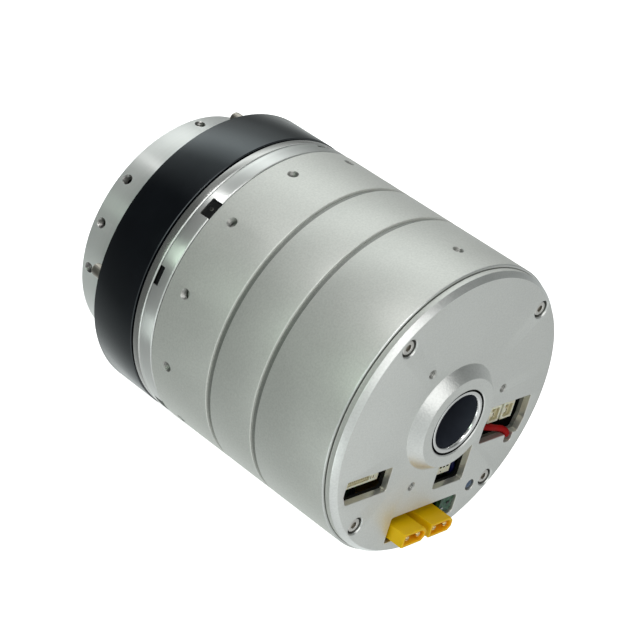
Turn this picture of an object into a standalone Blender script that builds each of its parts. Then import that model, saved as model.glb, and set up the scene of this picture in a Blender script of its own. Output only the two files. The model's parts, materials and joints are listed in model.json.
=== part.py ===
"""Hollow-shaft robot joint actuator: a frameless servo motor, a holding brake, a strain-wave gear and a cross-roller
output bearing in one stepped tube. The shaft axis lies along Y, the connector cover faces -Y and the output flange +Y."""

import math

import bmesh
import bpy
from mathutils import Vector

MM = 0.001

# Driving dimensions, in millimetres. Y is measured from the flat of the connector cover.
SEG = 40                       # facets round the axis, outside
INNER_SEG = 28                 # facets round the axis, inside
BODY_R = 47.5                  # housing outer radius
AXIS_Z = BODY_R                # the tube rests on its side, so the axis is one radius up
Y_BACK = -5.4                  # tips of the power plugs
Y_FRONT = 118.5                # face of the output flange
Y_MID = (Y_BACK + Y_FRONT) / 2

COVER_R, COVER_IN_R = 46.6, 45.2
COVER_CH_Y, COVER_RIM_Y, COVER_T = 1.3, 3.0, 3.3
BOSS_R, BOSS_TOP_R, BOSS_H = 17.7, 14.9, 3.6
BOSS_BORE_R = 10.9
COVER_SCREW_PC, COVER_SCREW_HEAD_R, COVER_CBORE_R, COVER_CBORE_D = 41.8, 2.3, 2.85, 2.2
TAPPED_PC, TAPPED_R = 23.5, 1.25

WIN_LEFT = [(-39.4, -11.9), (-20.1, -11.9), (-20.1, -20.1), (-37.6, -20.1), (-39.4, -16.6)]
WIN_MID = [(3.1, -14.3), (16.9, -14.3), (16.9, -26.6), (4.1, -26.6), (3.1, -25.6)]
WIN_RIGHT = [(20.0, -2.3), (39.2, -2.3), (39.9, -3.0), (39.9, -10.6), (38.6, -15.0), (37.2, -15.0), (36.6, -15.8), (36.6, -16.3),
             (36.07, -17.57), (34.8, -18.1), (33.53, -17.57), (33.0, -16.3), (33.0, -15.8), (32.2, -15.0), (21.0, -15.0), (20.0, -14.0)]
WIN_POWER = [(-12.7, -33.0), (-11.8, -32.0), (16.1, -32.0), (17.3, -33.2), (17.3, -37.2), (16.1, -38.6), (13.2, -38.6),
             (11.8, -41.0), (-12.0, -41.0), (-12.7, -40.3)]
LENS = (22.6, -30.4, 1.9)      # status light

REAR_Y0, REAR_Y1 = 3.4, 32.1   # three housing sections, with a groove over each joint
MID_Y0, MID_Y1 = 32.4, 50.9
FRONT_Y0, FRONT_Y1 = 51.2, 75.9
GROOVE_R, GROOVE_HALF = 46.6, 0.95
TUBE_IN_R = 43.5
BODY_HOLE_Y, BODY_HOLE_R, BODY_HOLE_D = 69.0, 1.3, 3.0
GROUND_HOLE_Y = 14.4

ADAPT_Y0, ADAPT_Y1 = 76.3, 81.4
ADAPT_R, ADAPT_IN_R = 47.4, 41.0
KEY_HALF, KEY_R = 3.0, 46.7    # half width of a locking lug, and its outer radius
SPLINE_Y0, SPLINE_Y1, SPLINE_R = 81.8, 84.7, 47.2
CASE_Y0, CASE_Y1, CASE_IN_R = 85.2, 102.4, 43.0
CASE_SCREW_PC, CASE_SCREW_HEAD_R, CASE_SCREW_H = 44.3, 2.0, 4.6

FLANGE_R, FLANGE_Y0 = 39.2, 103.3
FLANGE_HOLE_Y, FLANGE_HOLE_R, FLANGE_HOLE_D = 115.0, 1.3, 6.0
SHAFT_R, SHAFT_BORE_R, SHAFT_Y0, SHAFT_Y1 = 9.9, 8.2, -3.4, 118.0
ROTOR_IN_R, ROTOR_R = 10.7, 13.5

PLUG_W, PLUG_Z0, PLUG_Z1 = 10.3, -39.7, -34.9
PLUG_LEFT_X, PLUG_RIGHT_X = -11.5, 0.7
PIN_PITCH, PIN_R = 5.0, 0.95
BOARD_Y0, BOARD_Y1, BOARD_R = 11.2, 12.8, 42.0


def clear_scene():
    for obj in list(bpy.data.objects):
        bpy.data.objects.remove(obj, do_unlink=True)


def material(name, colour, metallic, roughness):
    mat = bpy.data.materials.new(name)
    mat.use_nodes = True
    shader = mat.node_tree.nodes["Principled BSDF"]
    shader.inputs["Base Color"].default_value = (*colour, 1.0)
    shader.inputs["Metallic"].default_value = metallic
    shader.inputs["Roughness"].default_value = roughness
    return mat


def place(name, bm, mat=None):
    """Turns a bmesh in millimetres about the axis into an object whose origin is on the axis."""
    bmesh.ops.recalc_face_normals(bm, faces=bm.faces)
    for vert in bm.verts:
        vert.co = Vector((vert.co.x * MM, (vert.co.y - Y_MID) * MM, vert.co.z * MM))
    mesh = bpy.data.meshes.new(name)
    bm.to_mesh(mesh)
    bm.free()
    obj = bpy.data.objects.new(name, mesh)
    obj.location = (0.0, 0.0, AXIS_Z * MM)
    bpy.context.scene.collection.objects.link(obj)
    if mat:
        mesh.materials.append(mat)
    return obj


def add_revolve(bm, profile, seg=SEG):
    """A closed (radius, y) profile turned about the axis, its flats and not its corners at the given radius."""
    rings = []
    for i in range(seg):
        ang = 2 * math.pi * (i + 0.5) / seg
        k = 1 / math.cos(math.pi / seg)
        rings.append([bm.verts.new((r * k * math.cos(ang), y, r * k * math.sin(ang))) for r, y in profile])
    n = len(profile)
    for i in range(seg):
        a, b = rings[i], rings[(i + 1) % seg]
        for j in range(n):
            bm.faces.new((a[j], a[(j + 1) % n], b[(j + 1) % n], b[j]))


def add_prism(bm, outline, y0, y1):
    """A closed (x, z) outline drawn out along the axis."""
    low = [bm.verts.new((x, y0, z)) for x, z in outline]
    top = [bm.verts.new((x, y1, z)) for x, z in outline]
    n = len(outline)
    bm.faces.new(low)
    bm.faces.new(top[::-1])
    for i in range(n):
        bm.faces.new((low[i], top[i], top[(i + 1) % n], low[(i + 1) % n]))


def circle(x, z, r, n=12, turn=0.5):
    return [(x + r * math.cos(2 * math.pi * (i + turn) / n), z + r * math.sin(2 * math.pi * (i + turn) / n))
            for i in range(n)]


def add_radial_hole(bm, deg, y, r, depth_r, top_r, n=10):
    """A round cutter pointing at the axis, from top_r down to depth_r."""
    a = math.radians(deg)
    out, side = Vector((math.cos(a), 0, math.sin(a))), Vector((-math.sin(a), 0, math.cos(a)))
    up = Vector((0, 1, 0))
    rings = []
    for rad in (depth_r, top_r):
        ring = []
        for i in range(n):
            t = 2 * math.pi * (i + 0.5) / n
            ring.append(bm.verts.new(out * rad + side * (r * math.cos(t)) + up * (y + r * math.sin(t))))
        rings.append(ring)
    bm.faces.new(rings[0])
    bm.faces.new(rings[1][::-1])
    for i in range(n):
        bm.faces.new((rings[0][i], rings[1][i], rings[1][(i + 1) % n], rings[0][(i + 1) % n]))


def add_radial_block(bm, deg, y0, y1, half, r0, r1):
    """A block standing out from the axis at one angle."""
    a = math.radians(deg)
    out, side = Vector((math.cos(a), 0, math.sin(a))), Vector((-math.sin(a), 0, math.cos(a)))
    corner = {}
    for i, r in enumerate((r0, r1)):
        for j, s in enumerate((-half, half)):
            for k, y in enumerate((y0, y1)):
                corner[i, j, k] = bm.verts.new(out * r + side * s + Vector((0, y, 0)))
    for axis in range(3):
        for end in (0, 1):
            ring = []
            for u, v in ((0, 0), (0, 1), (1, 1), (1, 0)):
                key = [u, v]
                key.insert(axis, end)
                ring.append(corner[tuple(key)])
            bm.faces.new(ring)


def revolved(name, profile, mat, seg=SEG):
    bm = bmesh.new()
    add_revolve(bm, profile, seg)
    return place(name, bm, mat)


def ring(name, r0, r1, y0, y1, mat, seg=SEG):
    return revolved(name, [(r0, y0), (r1, y0), (r1, y1), (r0, y1)], mat, seg)


def prism(name, outline, y0, y1, mat):
    bm = bmesh.new()
    add_prism(bm, outline, y0, y1)
    return place(name, bm, mat)


def boolean(obj, bm, operation="DIFFERENCE"):
    """Applies a hidden helper, made from bm, to obj."""
    helper = place(obj.name + "_helper_" + str(len(obj.modifiers)), bm)
    helper.hide_render = True
    helper.display_type = "WIRE"
    mod = obj.modifiers.new(helper.name, "BOOLEAN")
    mod.operation = operation
    mod.solver = "EXACT"
    mod.object = helper


def tube(name, path, r, mat, n=8):
    """A round lead swept along a path of points."""
    pts = [Vector(p) for p in path]
    bm = bmesh.new()
    rings = []
    ref = Vector((0.31, 0.42, 0.85))
    for i, p in enumerate(pts):
        before = pts[max(i - 1, 0)]
        after = pts[min(i + 1, len(pts) - 1)]
        d = (after - before).normalized()
        u = (ref - d * ref.dot(d)).normalized()
        v = d.cross(u)
        rings.append([bm.verts.new(p + u * (r * math.cos(2 * math.pi * k / n)) + v * (r * math.sin(2 * math.pi * k / n)))
                      for k in range(n)])
    for a, b in zip(rings[:-1], rings[1:]):
        for k in range(n):
            bm.faces.new((a[k], a[(k + 1) % n], b[(k + 1) % n], b[k]))
    bm.faces.new(rings[0][::-1])
    bm.faces.new(rings[-1])
    return place(name, bm, mat)


def smooth_path(points, steps=4):
    """Points of a Catmull-Rom curve through the given ones."""
    pts = [Vector(p) for p in points]
    pts = [pts[0] * 2 - pts[1]] + pts + [pts[-1] * 2 - pts[-2]]
    out = []
    for i in range(1, len(pts) - 2):
        for s in range(steps):
            t = s / steps
            a, b, c, d = pts[i - 1:i + 3]
            out.append(0.5 * ((2 * b) + (c - a) * t + (2 * a - 5 * b + 4 * c - d) * t * t
                              + (3 * b - a - 3 * c + d) * t ** 3))
    out.append(pts[-2])
    return out


def polar(r, deg):
    return r * math.cos(math.radians(deg)), r * math.sin(math.radians(deg))


def build_cover(alu, steel):
    cover = revolved("rear_cover", [
        (BOSS_BORE_R, -BOSS_H), (BOSS_TOP_R, -BOSS_H), (BOSS_R, 0.0), (COVER_IN_R, 0.0), (COVER_R, COVER_CH_Y),
        (COVER_R, COVER_RIM_Y), (36.8, COVER_RIM_Y), (36.8, COVER_T), (BOSS_BORE_R, COVER_T)], alu)
    bm = bmesh.new()
    add_prism(bm, WIN_LEFT, -1, 5)
    add_prism(bm, WIN_RIGHT, -1, 5)
    add_prism(bm, WIN_POWER, -1, 5)
    add_prism(bm, circle(LENS[0], LENS[1], LENS[2], 12), -1, 5)
    for deg in (10, 130, 250):
        add_prism(bm, circle(*polar(TAPPED_PC, deg), TAPPED_R, 10), -1, 5)
    for deg in (45, 135, 225, 315):
        x, z = polar(COVER_SCREW_PC, deg)
        add_prism(bm, circle(x, z, COVER_CBORE_R, 14), -1, COVER_CBORE_D)
    boolean(cover, bm)
    bm = bmesh.new()
    # The middle window stops at the foot of the boss.
    foot = BOSS_R + 0.25
    arc = [(x, -math.sqrt(foot ** 2 - x ** 2)) for x in (3.1, 5.6, 8.1, 10.4)]
    add_prism(bm, arc + [(math.sqrt(foot ** 2 - 14.3 ** 2), -14.3)] + WIN_MID[1:], -1, 5)
    for deg in (45, 135, 225, 315):
        x, z = polar(COVER_SCREW_PC, deg)
        add_prism(bm, circle(x, z, 1.5, 10), 1.5, 5)
    boolean(cover, bm)
    # Socket-head screws, each turned down to one closed shape with its hexagon socket.
    for i, deg in enumerate((45, 135, 225, 315), 1):
        x, z = polar(COVER_SCREW_PC, deg)
        bm = bmesh.new()
        n = 12
        levels = [(COVER_SCREW_HEAD_R, 0.25), (COVER_SCREW_HEAD_R, 1.9), (1.15, 1.9), (1.15, 9.0)]
        rows = [[bm.verts.new((px, y, pz)) for px, pz in circle(x, z, r, n)] for r, y in levels]
        sock = [[bm.verts.new((px, y, pz)) for px, pz in circle(x, z, 1.15, n)] for y in (0.25, 1.3)]
        for a, b in zip(rows[:-1], rows[1:]):
            for k in range(n):
                bm.faces.new((a[k], a[(k + 1) % n], b[(k + 1) % n], b[k]))
        bm.faces.new(rows[-1])
        for k in range(n):
            bm.faces.new((rows[0][k], sock[0][k], sock[0][(k + 1) % n], rows[0][(k + 1) % n]))
            bm.faces.new((sock[0][k], sock[1][k], sock[1][(k + 1) % n], sock[0][(k + 1) % n]))
        bm.faces.new(sock[1])
        place(f"cover_screw_{i}", bm, steel)


def build_housings(alu):
    g, h = GROOVE_R, GROOVE_HALF
    rear = revolved("rear_housing", [
        (TUBE_IN_R, REAR_Y0), (BODY_R - 0.5, REAR_Y0), (BODY_R, REAR_Y0 + 0.5), (BODY_R, REAR_Y1 - h + 0.15),
        (g, REAR_Y1 - h + 0.15), (g, REAR_Y1), (TUBE_IN_R, REAR_Y1), (TUBE_IN_R, 29.2), (21.3, 29.2), (21.3, 24.3),
        (TUBE_IN_R, 24.3)], alu)
    bm = bmesh.new()
    for deg in (45, 135, 225, 315):
        add_prism(bm, circle(*polar(COVER_SCREW_PC, deg), 3.3, 10), 3.7, 14.0)
    boolean(rear, bm, "UNION")
    bm = bmesh.new()
    for deg in (45, 135, 225, 315):
        add_prism(bm, circle(*polar(COVER_SCREW_PC, deg), 1.5, 10), 2.0, 10.0)
    add_radial_hole(bm, 90, GROUND_HOLE_Y, BODY_HOLE_R, BODY_R - BODY_HOLE_D, BODY_R + 2)
    boolean(rear, bm)
    revolved("mid_housing", [
        (TUBE_IN_R, MID_Y0), (g, MID_Y0), (g, MID_Y0 + h - 0.15), (BODY_R, MID_Y0 + h - 0.15),
        (BODY_R, MID_Y1 - h + 0.15), (g, MID_Y1 - h + 0.15), (g, MID_Y1), (16.0, MID_Y1), (16.0, 47.0),
        (TUBE_IN_R, 47.0)], alu)
    front = revolved("front_housing", [
        (TUBE_IN_R, FRONT_Y0), (g, FRONT_Y0), (g, FRONT_Y0 + h - 0.15), (BODY_R, FRONT_Y0 + h - 0.15),
        (BODY_R, FRONT_Y1), (21.3, FRONT_Y1), (21.3, 70.5), (25.0, 70.5), (25.0, 72.6), (TUBE_IN_R, 72.6)], alu)
    bm = bmesh.new()
    for k in range(12):
        add_radial_hole(bm, 15 + 30 * k, BODY_HOLE_Y, BODY_HOLE_R, BODY_R - BODY_HOLE_D, BODY_R + 2)
    boolean(front, bm)


def build_gear_housing(light, black, steel, bearing, rubber):
    adapter = revolved("adapter_ring", [
        (ADAPT_IN_R, ADAPT_Y0), (ADAPT_R - 0.4, ADAPT_Y0), (ADAPT_R, ADAPT_Y0 + 0.4), (ADAPT_R, ADAPT_Y1),
        (ADAPT_IN_R, ADAPT_Y1)], light)
    bm = bmesh.new()
    for k in range(4):
        add_radial_block(bm, 45 + 90 * k, ADAPT_Y0 - 1, 79.9, KEY_HALF, 39.0, 50.0)
        add_radial_block(bm, 75 + 90 * k, 79.5, ADAPT_Y1 + 1, KEY_HALF, 39.0, 50.0)
    boolean(adapter, bm)
    lock = revolved("locking_ring", [(36.0, 76.7), (40.6, 76.7), (40.6, 81.1), (36.0, 81.1)], black)
    bm = bmesh.new()
    for k in range(4):
        add_radial_block(bm, 45 + 90 * k, 76.9, 79.6, KEY_HALF - 0.3, 38.0, KEY_R)
        add_radial_block(bm, 75 + 90 * k, 79.8, 80.9, KEY_HALF - 0.3, 38.0, KEY_R)
    boolean(lock, bm, "UNION")
    revolved("circular_spline", [
        (28.9, 82.2), (35.5, 82.2), (35.5, SPLINE_Y0), (SPLINE_R - 0.3, SPLINE_Y0), (SPLINE_R, SPLINE_Y0 + 0.3),
        (SPLINE_R, SPLINE_Y1), (36.0, SPLINE_Y1), (36.0, 88.0), (28.9, 88.0)], steel)
    case = revolved("gear_case", [
        (CASE_IN_R, CASE_Y0), (BODY_R, CASE_Y0), (BODY_R, CASE_Y1), (40.7, CASE_Y1), (40.7, 101.3),
        (CASE_IN_R, 101.3)], black)
    bm = bmesh.new()
    for k in range(4):
        add_prism(bm, circle(*polar(CASE_SCREW_PC, 90 * k), 1.1, 8), 94.0, 104.0)
    boolean(case, bm)
    for k in range(4):
        x, z = polar(CASE_SCREW_PC, 90 * k)
        bm = bmesh.new()
        n = 12
        y1 = CASE_Y1 + 0.3
        levels = [(0.8, 95.0), (0.8, y1), (CASE_SCREW_HEAD_R, y1), (CASE_SCREW_HEAD_R, y1 + CASE_SCREW_H)]
        rows = [[bm.verts.new((px, y, pz)) for px, pz in circle(x, z, r, n)] for r, y in levels]
        for a, b in zip(rows[:-1], rows[1:]):
            for j in range(n):
                bm.faces.new((a[j], a[(j + 1) % n], b[(j + 1) % n], b[j]))
        bm.faces.new(rows[0])
        bm.faces.new(rows[-1])
        place(f"case_screw_{k + 1}", bm, steel)
    ring("bearing_outer_ring", 39.0, 42.6, 88.4, 101.0, bearing, INNER_SEG)
    ring("output_seal", 37.5, 40.3, 101.6, 102.6, rubber)


def build_motor(iron, copper, bearing, dark):
    ring("stator_core", 28.7, 43.0, 55.0, 69.0, iron, INNER_SEG)
    ring("winding_rear", 30.0, 42.3, 51.8, 54.7, copper, INNER_SEG)
    ring("winding_front", 30.0, 42.3, 69.3, 72.2, copper, INNER_SEG)
    ring("rear_bearing", 13.9, 20.9, 24.5, 29.0, bearing, INNER_SEG)
    ring("front_bearing", 13.9, 20.9, 71.0, 75.7, bearing, INNER_SEG)
    revolved("brake_coil", [(22.0, 31.0), (42.6, 31.0), (42.6, 41.0), (22.0, 41.0)], dark, INNER_SEG)


def build_electronics(green, white, yellow, gold, red, blue, lens, brass, plate):
    board = ring("driver_board", 12.6, BOARD_R, BOARD_Y0, BOARD_Y1, green, INNER_SEG)
    bm = bmesh.new()
    for deg in (45, 135, 225, 315):
        add_prism(bm, circle(*polar(COVER_SCREW_PC, deg), 4.6, 12), 10, 14)
    boolean(board, bm)
    ring("encoder_board", 18.0, 35.0, 18.0, 19.6, green, INNER_SEG)
    for i, deg in enumerate((0, 120, 240), 1):
        prism(f"board_standoff_{i}", circle(*polar(39.0, deg), 2.1, 8), 13.1, 24.0, brass)
    for side, x0, first in (("left", PLUG_LEFT_X, 1), ("right", PLUG_RIGHT_X, 3)):
        x1 = x0 + PLUG_W
        ch = 1.4
        shell = [(x0, PLUG_Z0), (x1 - ch, PLUG_Z0), (x1, PLUG_Z0 + ch), (x1, PLUG_Z1 - ch), (x1 - ch, PLUG_Z1),
                 (x0, PLUG_Z1)]
        plug = prism(f"power_plug_{side}", shell, Y_BACK, BOARD_Y0 - 0.3, yellow)
        w, c2 = 0.75, 1.2
        bm = bmesh.new()
        add_prism(bm, [(x0 + w, PLUG_Z0 + w), (x1 - w - c2, PLUG_Z0 + w), (x1 - w, PLUG_Z0 + w + c2),
                       (x1 - w, PLUG_Z1 - w - c2), (x1 - w - c2, PLUG_Z1 - w), (x0 + w, PLUG_Z1 - w)],
                  Y_BACK - 1, 2.6)
        boolean(plug, bm)
        mid_x, mid_z = (x0 + x1) / 2, (PLUG_Z0 + PLUG_Z1) / 2
        for k, s in enumerate((-0.5, 0.5)):
            prism(f"power_pin_{first + k}", circle(mid_x + s * PIN_PITCH, mid_z, PIN_R, 10), Y_BACK + 1.0, 2.3, gold)

    def header(name, x0, x1, z0, z1, slot):
        shell = prism(name, [(x0, z0), (x1, z0), (x1, z1), (x0, z1)], 3.8, BOARD_Y0 - 0.3, white)
        bm = bmesh.new()
        add_prism(bm, [(slot[0], slot[2]), (slot[1], slot[2]), (slot[1], slot[3]), (slot[0], slot[3])], 2.0, 6.4)
        boolean(shell, bm)

    header("signal_header_left", -34.9, -20.6, -18.2, -14.1, (-33.2, -22.4, -16.9, -15.1))
    header("signal_header_mid", 7.2, 14.7, -25.4, -20.2, (8.2, 13.7, -23.4, -21.4))
    header("io_header_1", 26.9, 32.3, -12.1, -6.1, (28.2, 31.0, -10.5, -7.7))
    header("io_header_2", 33.3, 38.7, -12.1, -6.1, (34.6, 37.4, -10.5, -7.7))
    tube("lead_red", smooth_path([
        (24.0, 10.2, -13.6), (23.9, 6.0, -12.9), (24.6, 3.4, -12.0), (26.4, 2.5, -12.1), (29.4, 2.2, -12.9),
        (32.2, 1.7, -13.6), (34.0, 1.1, -14.5), (34.8, 1.2, -15.9), (34.8, 4.4, -16.5), (34.7, 10.2, -17.2)]), 0.85, red)
    tube("lead_blue", smooth_path([
        (16.9, 10.2, -18.6), (17.3, 6.9, -21.2), (17.8, 5.4, -24.2), (18.2, 5.7, -27.2), (18.3, 10.2, -29.6)]), 0.85, blue)
    prism("status_lens", circle(LENS[0], LENS[1], LENS[2] - 0.3, 12), 0.5, BOARD_Y0 - 0.3, lens)


def build_brake_armature(iron):
    ring("brake_armature", 19.0, 41.0, 41.6, 43.6, iron, INNER_SEG)


def build_rotor(steel, magnet, cam, bearing, friction, glass):
    revolved("rotor_hub", [
        (ROTOR_IN_R, 20.2), (ROTOR_R, 20.2), (ROTOR_R, 60.0), (22.6, 60.0), (22.6, 55.2), (25.2, 55.2), (25.2, 68.8),
        (22.6, 68.8), (22.6, 64.0), (ROTOR_R, 64.0), (ROTOR_R, 89.2), (ROTOR_IN_R, 89.2)], steel, INNER_SEG)
    ring("magnet_ring", 25.5, 28.0, 55.2, 68.8, magnet, INNER_SEG)
    ring("motor_encoder_disc", 13.8, 24.0, 21.6, 22.8, glass, INNER_SEG)
    ring("brake_disc", 13.8, 40.0, 44.2, 46.2, friction, INNER_SEG)
    ring("wave_cam", 13.8, 22.0, 81.0, 88.0, cam, INNER_SEG)
    ring("wave_bearing", 22.3, 26.2, 81.0, 88.0, bearing, INNER_SEG)


def build_output(light, steel, bearing, glass, screw):
    flange = revolved("output_flange", [
        (10.2, 99.9), (28.0, 99.9), (28.0, 101.9), (37.1, 101.9), (37.1, FLANGE_Y0), (FLANGE_R, FLANGE_Y0),
        (FLANGE_R, Y_FRONT - 0.6), (FLANGE_R - 0.6, Y_FRONT), (25.0, Y_FRONT), (25.0, 115.9), (10.2, 115.9)], light)
    bm = bmesh.new()
    for k in range(8):
        add_radial_hole(bm, 7.5 + 45 * k, FLANGE_HOLE_Y, FLANGE_HOLE_R, FLANGE_R - FLANGE_HOLE_D, FLANGE_R + 2, 8)
        add_prism(bm, circle(*polar(30.0, 22.5 + 45 * k), 1.65, 8), 110.0, Y_FRONT + 1)
    for k in range(4):
        add_radial_hole(bm, 75 + 90 * k, FLANGE_HOLE_Y, FLANGE_HOLE_R, FLANGE_R - FLANGE_HOLE_D, FLANGE_R + 2, 8)
        add_prism(bm, circle(*polar(19.0, 45 + 90 * k), 3.2, 10), 112.4, Y_FRONT + 1)
    boolean(flange, bm)
    bm = bmesh.new()
    for k in range(4):
        add_prism(bm, circle(*polar(19.0, 45 + 90 * k), 1.9, 8), 99.0, 113.0)
    boolean(flange, bm)
    for k in range(4):
        x, z = polar(19.0, 45 + 90 * k)
        bm = bmesh.new()
        n = 10
        levels = [(1.5, 100.2), (1.5, 112.7), (2.8, 112.7), (2.8, 115.7)]
        rows = [[bm.verts.new((px, y, pz)) for px, pz in circle(x, z, r, n)] for r, y in levels]
        for a, b in zip(rows[:-1], rows[1:]):
            for j in range(n):
                bm.faces.new((a[j], a[(j + 1) % n], b[(j + 1) % n], b[j]))
        bm.faces.new(rows[0])
        bm.faces.new(rows[-1])
        place(f"flange_screw_{k + 1}", bm, screw)
    revolved("hollow_shaft", [
        (SHAFT_BORE_R + 0.6, SHAFT_Y0), (SHAFT_R, SHAFT_Y0), (SHAFT_R, SHAFT_Y1), (SHAFT_BORE_R, SHAFT_Y1),
        (SHAFT_BORE_R, SHAFT_Y0 + 0.9)], steel)
    revolved("flexspline", [
        (26.9, 81.2), (28.2, 81.2), (28.2, 99.5), (10.4, 99.5), (10.4, 97.2), (26.9, 97.2)], bearing, INNER_SEG)
    ring("bearing_inner_ring", 29.0, 38.4, 88.6, 101.5, bearing, INNER_SEG)
    ring("output_encoder_disc", 10.3, 17.2, 14.8, 16.0, glass, INNER_SEG)


def main():
    clear_scene()
    alu = material("anodised_aluminium", (0.62, 0.64, 0.62), 0.9, 0.45)
    light = material("turned_aluminium", (0.75, 0.77, 0.76), 1.0, 0.3)
    black = material("black_steel", (0.015, 0.016, 0.018), 0.6, 0.35)
    steel = material("polished_steel", (0.6, 0.6, 0.6), 1.0, 0.2)
    bearing = material("bearing_steel", (0.5, 0.5, 0.5), 1.0, 0.3)
    iron = material("core_iron", (0.25, 0.25, 0.26), 0.9, 0.5)
    copper = material("copper_winding", (0.7, 0.32, 0.12), 0.8, 0.4)
    green = material("circuit_board", (0.02, 0.14, 0.08), 0.0, 0.5)
    white = material("white_connector", (0.75, 0.72, 0.6), 0.0, 0.5)
    yellow = material("yellow_connector", (0.85, 0.55, 0.02), 0.0, 0.4)
    gold = material("gold_pin", (0.85, 0.65, 0.3), 1.0, 0.25)
    red = material("red_wire", (0.5, 0.02, 0.02), 0.0, 0.4)
    blue = material("blue_wire", (0.02, 0.03, 0.2), 0.0, 0.4)
    lens = material("light_pipe", (0.2, 0.25, 0.35), 0.0, 0.2)
    brass = material("brass_standoff", (0.7, 0.55, 0.25), 1.0, 0.35)
    dark = material("brake_body", (0.1, 0.1, 0.11), 0.8, 0.5)
    magnet = material("magnet", (0.4, 0.4, 0.42), 1.0, 0.35)
    friction = material("friction_lining", (0.12, 0.1, 0.09), 0.0, 0.9)
    glass = material("code_disc", (0.3, 0.32, 0.34), 0.0, 0.2)
    rubber = material("seal_rubber", (0.02, 0.02, 0.02), 0.0, 0.8)
    build_cover(alu, steel)
    build_housings(alu)
    build_gear_housing(light, black, steel, bearing, rubber)
    build_motor(iron, copper, bearing, dark)
    build_electronics(green, white, yellow, gold, red, blue, lens, brass, steel)
    build_brake_armature(iron)
    build_rotor(steel, magnet, steel, bearing, friction, glass)
    build_output(light, steel, bearing, glass, steel)


main()
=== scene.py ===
"""Looks of a hollow-shaft robot joint actuator: fine turned, blasted, blackened and moulded pieces over the CAD frame."""

import json
import math

import bmesh
import bpy
from mathutils import Matrix, Vector


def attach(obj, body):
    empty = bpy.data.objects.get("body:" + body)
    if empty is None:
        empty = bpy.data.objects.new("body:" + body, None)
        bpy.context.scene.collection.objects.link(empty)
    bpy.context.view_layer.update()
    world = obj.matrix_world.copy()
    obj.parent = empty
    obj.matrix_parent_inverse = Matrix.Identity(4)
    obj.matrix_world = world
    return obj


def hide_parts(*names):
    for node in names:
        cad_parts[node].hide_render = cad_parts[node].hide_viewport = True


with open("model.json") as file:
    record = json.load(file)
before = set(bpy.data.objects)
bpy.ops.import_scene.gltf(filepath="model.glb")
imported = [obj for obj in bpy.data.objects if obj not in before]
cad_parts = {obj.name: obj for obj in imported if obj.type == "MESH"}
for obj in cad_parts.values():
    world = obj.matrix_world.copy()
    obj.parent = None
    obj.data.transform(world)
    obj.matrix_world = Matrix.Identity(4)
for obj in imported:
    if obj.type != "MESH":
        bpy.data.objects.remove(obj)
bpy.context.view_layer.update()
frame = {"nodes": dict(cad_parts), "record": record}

MM = 0.001
Y_MID = 56.55                  # middle of the length, measured from the flat of the cover
AXIS_Z = 47.5                  # height of the shaft axis
SEG = 256


# ---------------------------------------------------------------- materials

def new_material(name, colour, metallic, roughness, **sockets):
    mat = bpy.data.materials.new(name)
    mat.use_nodes = True
    tree = mat.node_tree
    shader = tree.nodes["Principled BSDF"]
    shader.inputs["Base Color"].default_value = (*colour, 1.0)
    shader.inputs["Metallic"].default_value = metallic
    shader.inputs["Roughness"].default_value = roughness
    for key, value in sockets.items():
        shader.inputs[key.replace("_", " ")].default_value = value
    return mat, tree, shader


def node(tree, kind, **settings):
    made = tree.nodes.new(kind)
    for key, value in settings.items():
        setattr(made, key, value)
    return made


def object_coords(tree):
    return node(tree, "ShaderNodeTexCoord").outputs["Object"]


def scaled(tree, vector, scale, shift=(0, 0, 0)):
    mapping = node(tree, "ShaderNodeMapping")
    mapping.inputs["Location"].default_value = shift
    mapping.inputs["Scale"].default_value = scale
    tree.links.new(vector, mapping.inputs["Vector"])
    return mapping.outputs["Vector"]


def noise(tree, vector, scale, detail=2.0, rough=0.5, kind="3D"):
    tex = node(tree, "ShaderNodeTexNoise", noise_dimensions=kind)
    tex.inputs["Scale"].default_value = scale
    tex.inputs["Detail"].default_value = detail
    tex.inputs["Roughness"].default_value = rough
    tree.links.new(vector, tex.inputs["Vector"])
    return tex.outputs["Fac"]


def span(tree, value, low, high, start=0.0, end=1.0):
    ranged = node(tree, "ShaderNodeMapRange")
    ranged.inputs["From Min"].default_value = start
    ranged.inputs["From Max"].default_value = end
    ranged.inputs["To Min"].default_value = low
    ranged.inputs["To Max"].default_value = high
    tree.links.new(value, ranged.inputs["Value"])
    return ranged.outputs["Result"]


def ramp(tree, value, *stops):
    made = node(tree, "ShaderNodeValToRGB")
    elements = made.color_ramp.elements
    while len(elements) < len(stops):
        elements.new(0.5)
    for element, (place, colour) in zip(elements, stops):
        element.position = place
        element.color = (*colour, 1.0)
    tree.links.new(value, made.inputs["Fac"])
    return made.outputs["Color"]


def bump(tree, shader, height, strength, distance, before=None):
    made = node(tree, "ShaderNodeBump")
    made.inputs["Strength"].default_value = strength
    made.inputs["Distance"].default_value = distance
    tree.links.new(height, made.inputs["Height"])
    if before is not None:
        tree.links.new(before, made.inputs["Normal"])
    tree.links.new(made.outputs["Normal"], shader.inputs["Normal"])
    return made.outputs["Normal"]


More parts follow.
